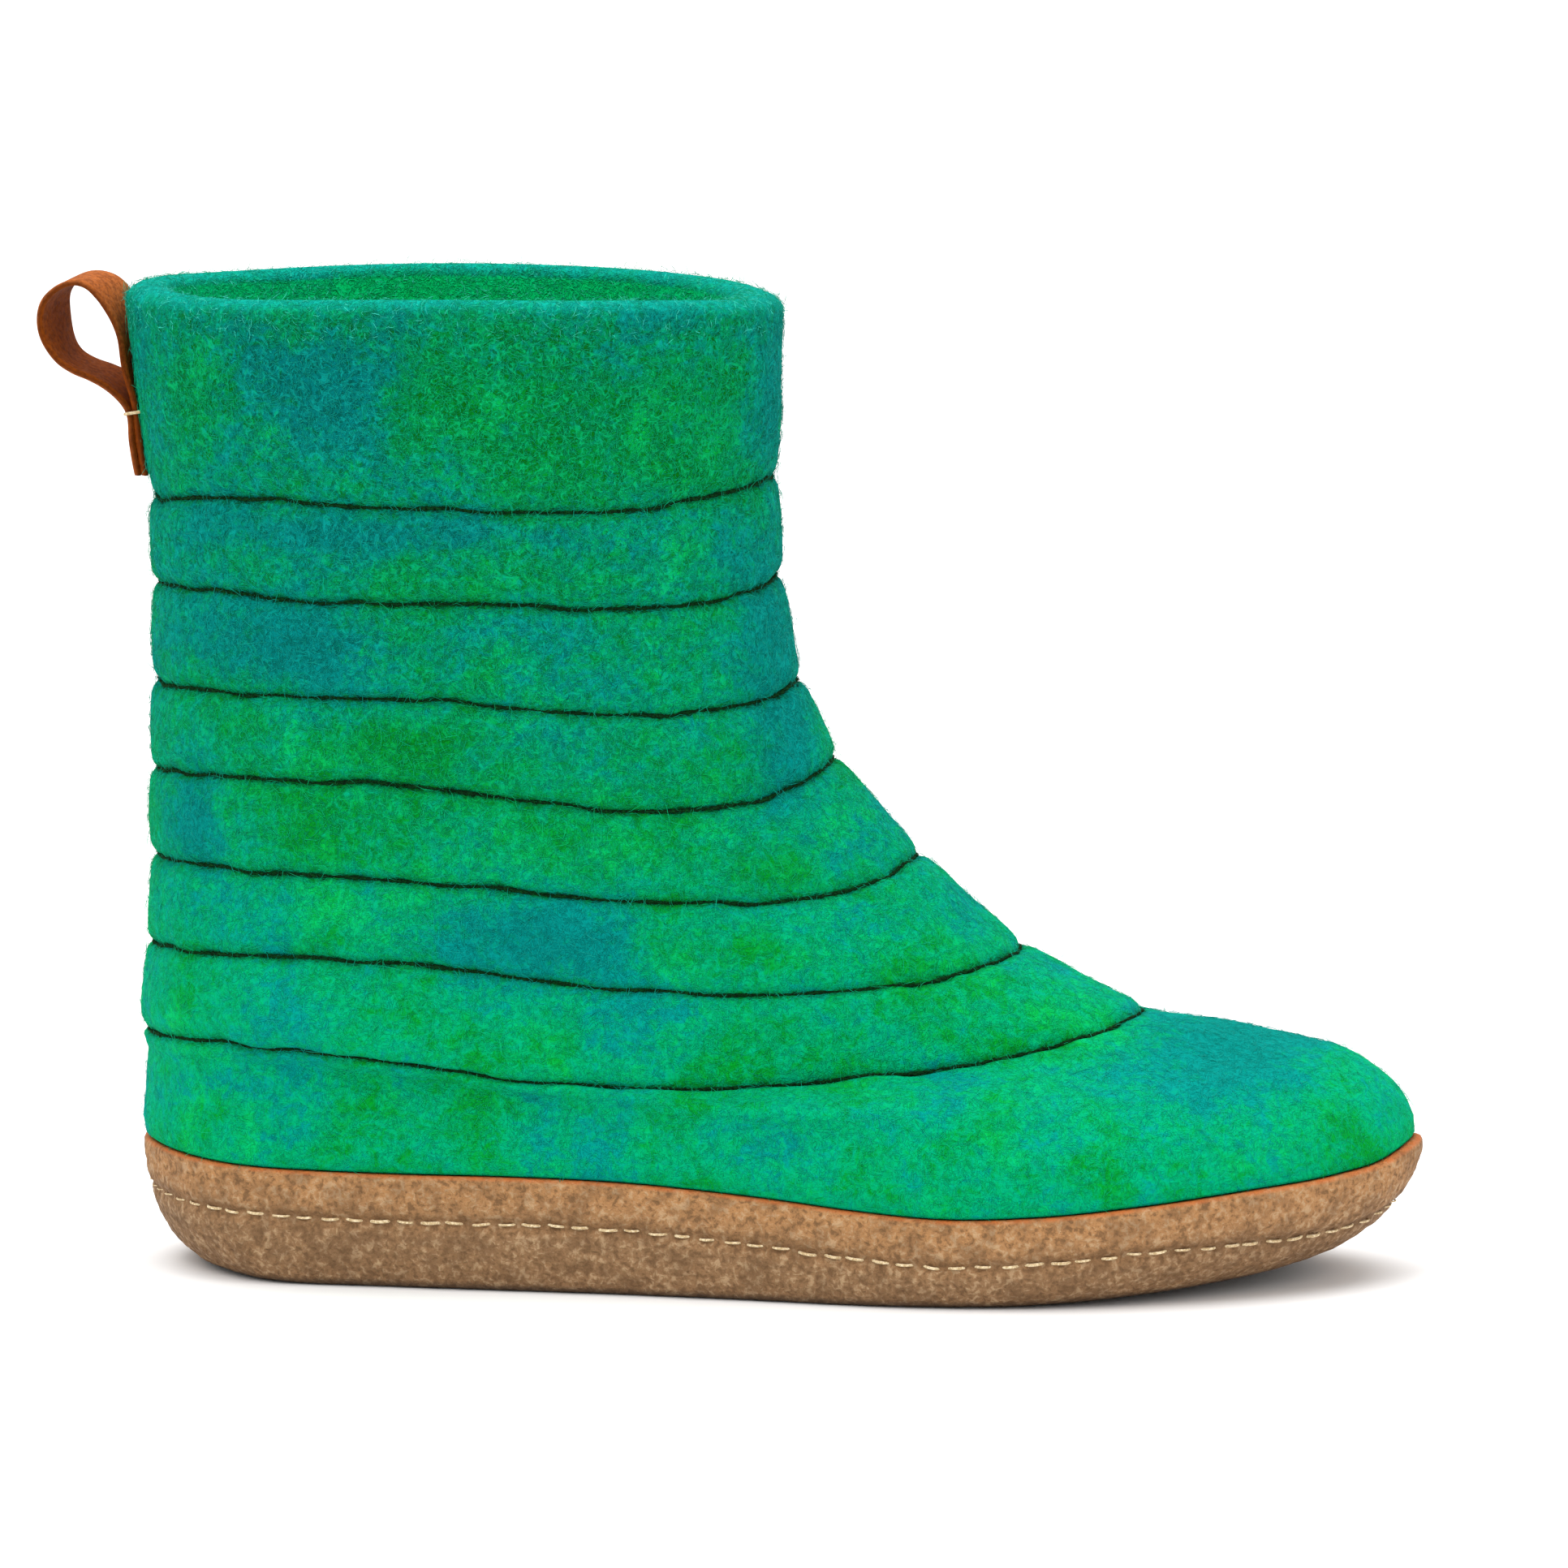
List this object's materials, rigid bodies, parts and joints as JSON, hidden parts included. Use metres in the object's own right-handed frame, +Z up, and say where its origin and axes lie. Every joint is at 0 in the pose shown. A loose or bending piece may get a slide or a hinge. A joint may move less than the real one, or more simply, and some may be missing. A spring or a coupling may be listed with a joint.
{
  "type": "felt boot",
  "caption": "Ankle-high felted wool boot for the right foot, with sewn furrows round the shaft, a crepe rubber cup sole and a leather pull loop.",
  "frame": {"origin": "on the ground under the middle of the sole's length", "axes": "+X from heel to toe, -Y the outer side of the right foot, +Z up"},
  "size_m": [0.2873, 0.0987, 0.2065],
  "materials": {
    "felt": "mottled emerald and teal hand-felted wool, matt and hairy",
    "crepe_rubber": "natural tan crepe rubber, pebbled, satin",
    "insole_felt": "pressed wool felt, matt",
    "loop_leather": "oiled brown leather, slightly waxy"
  },
  "bodies": {
    "root": {"upper": "felt", "sole": "crepe_rubber", "insole": "insole_felt", "pull_loop": "loop_leather"}
  },
  "joints": []
}
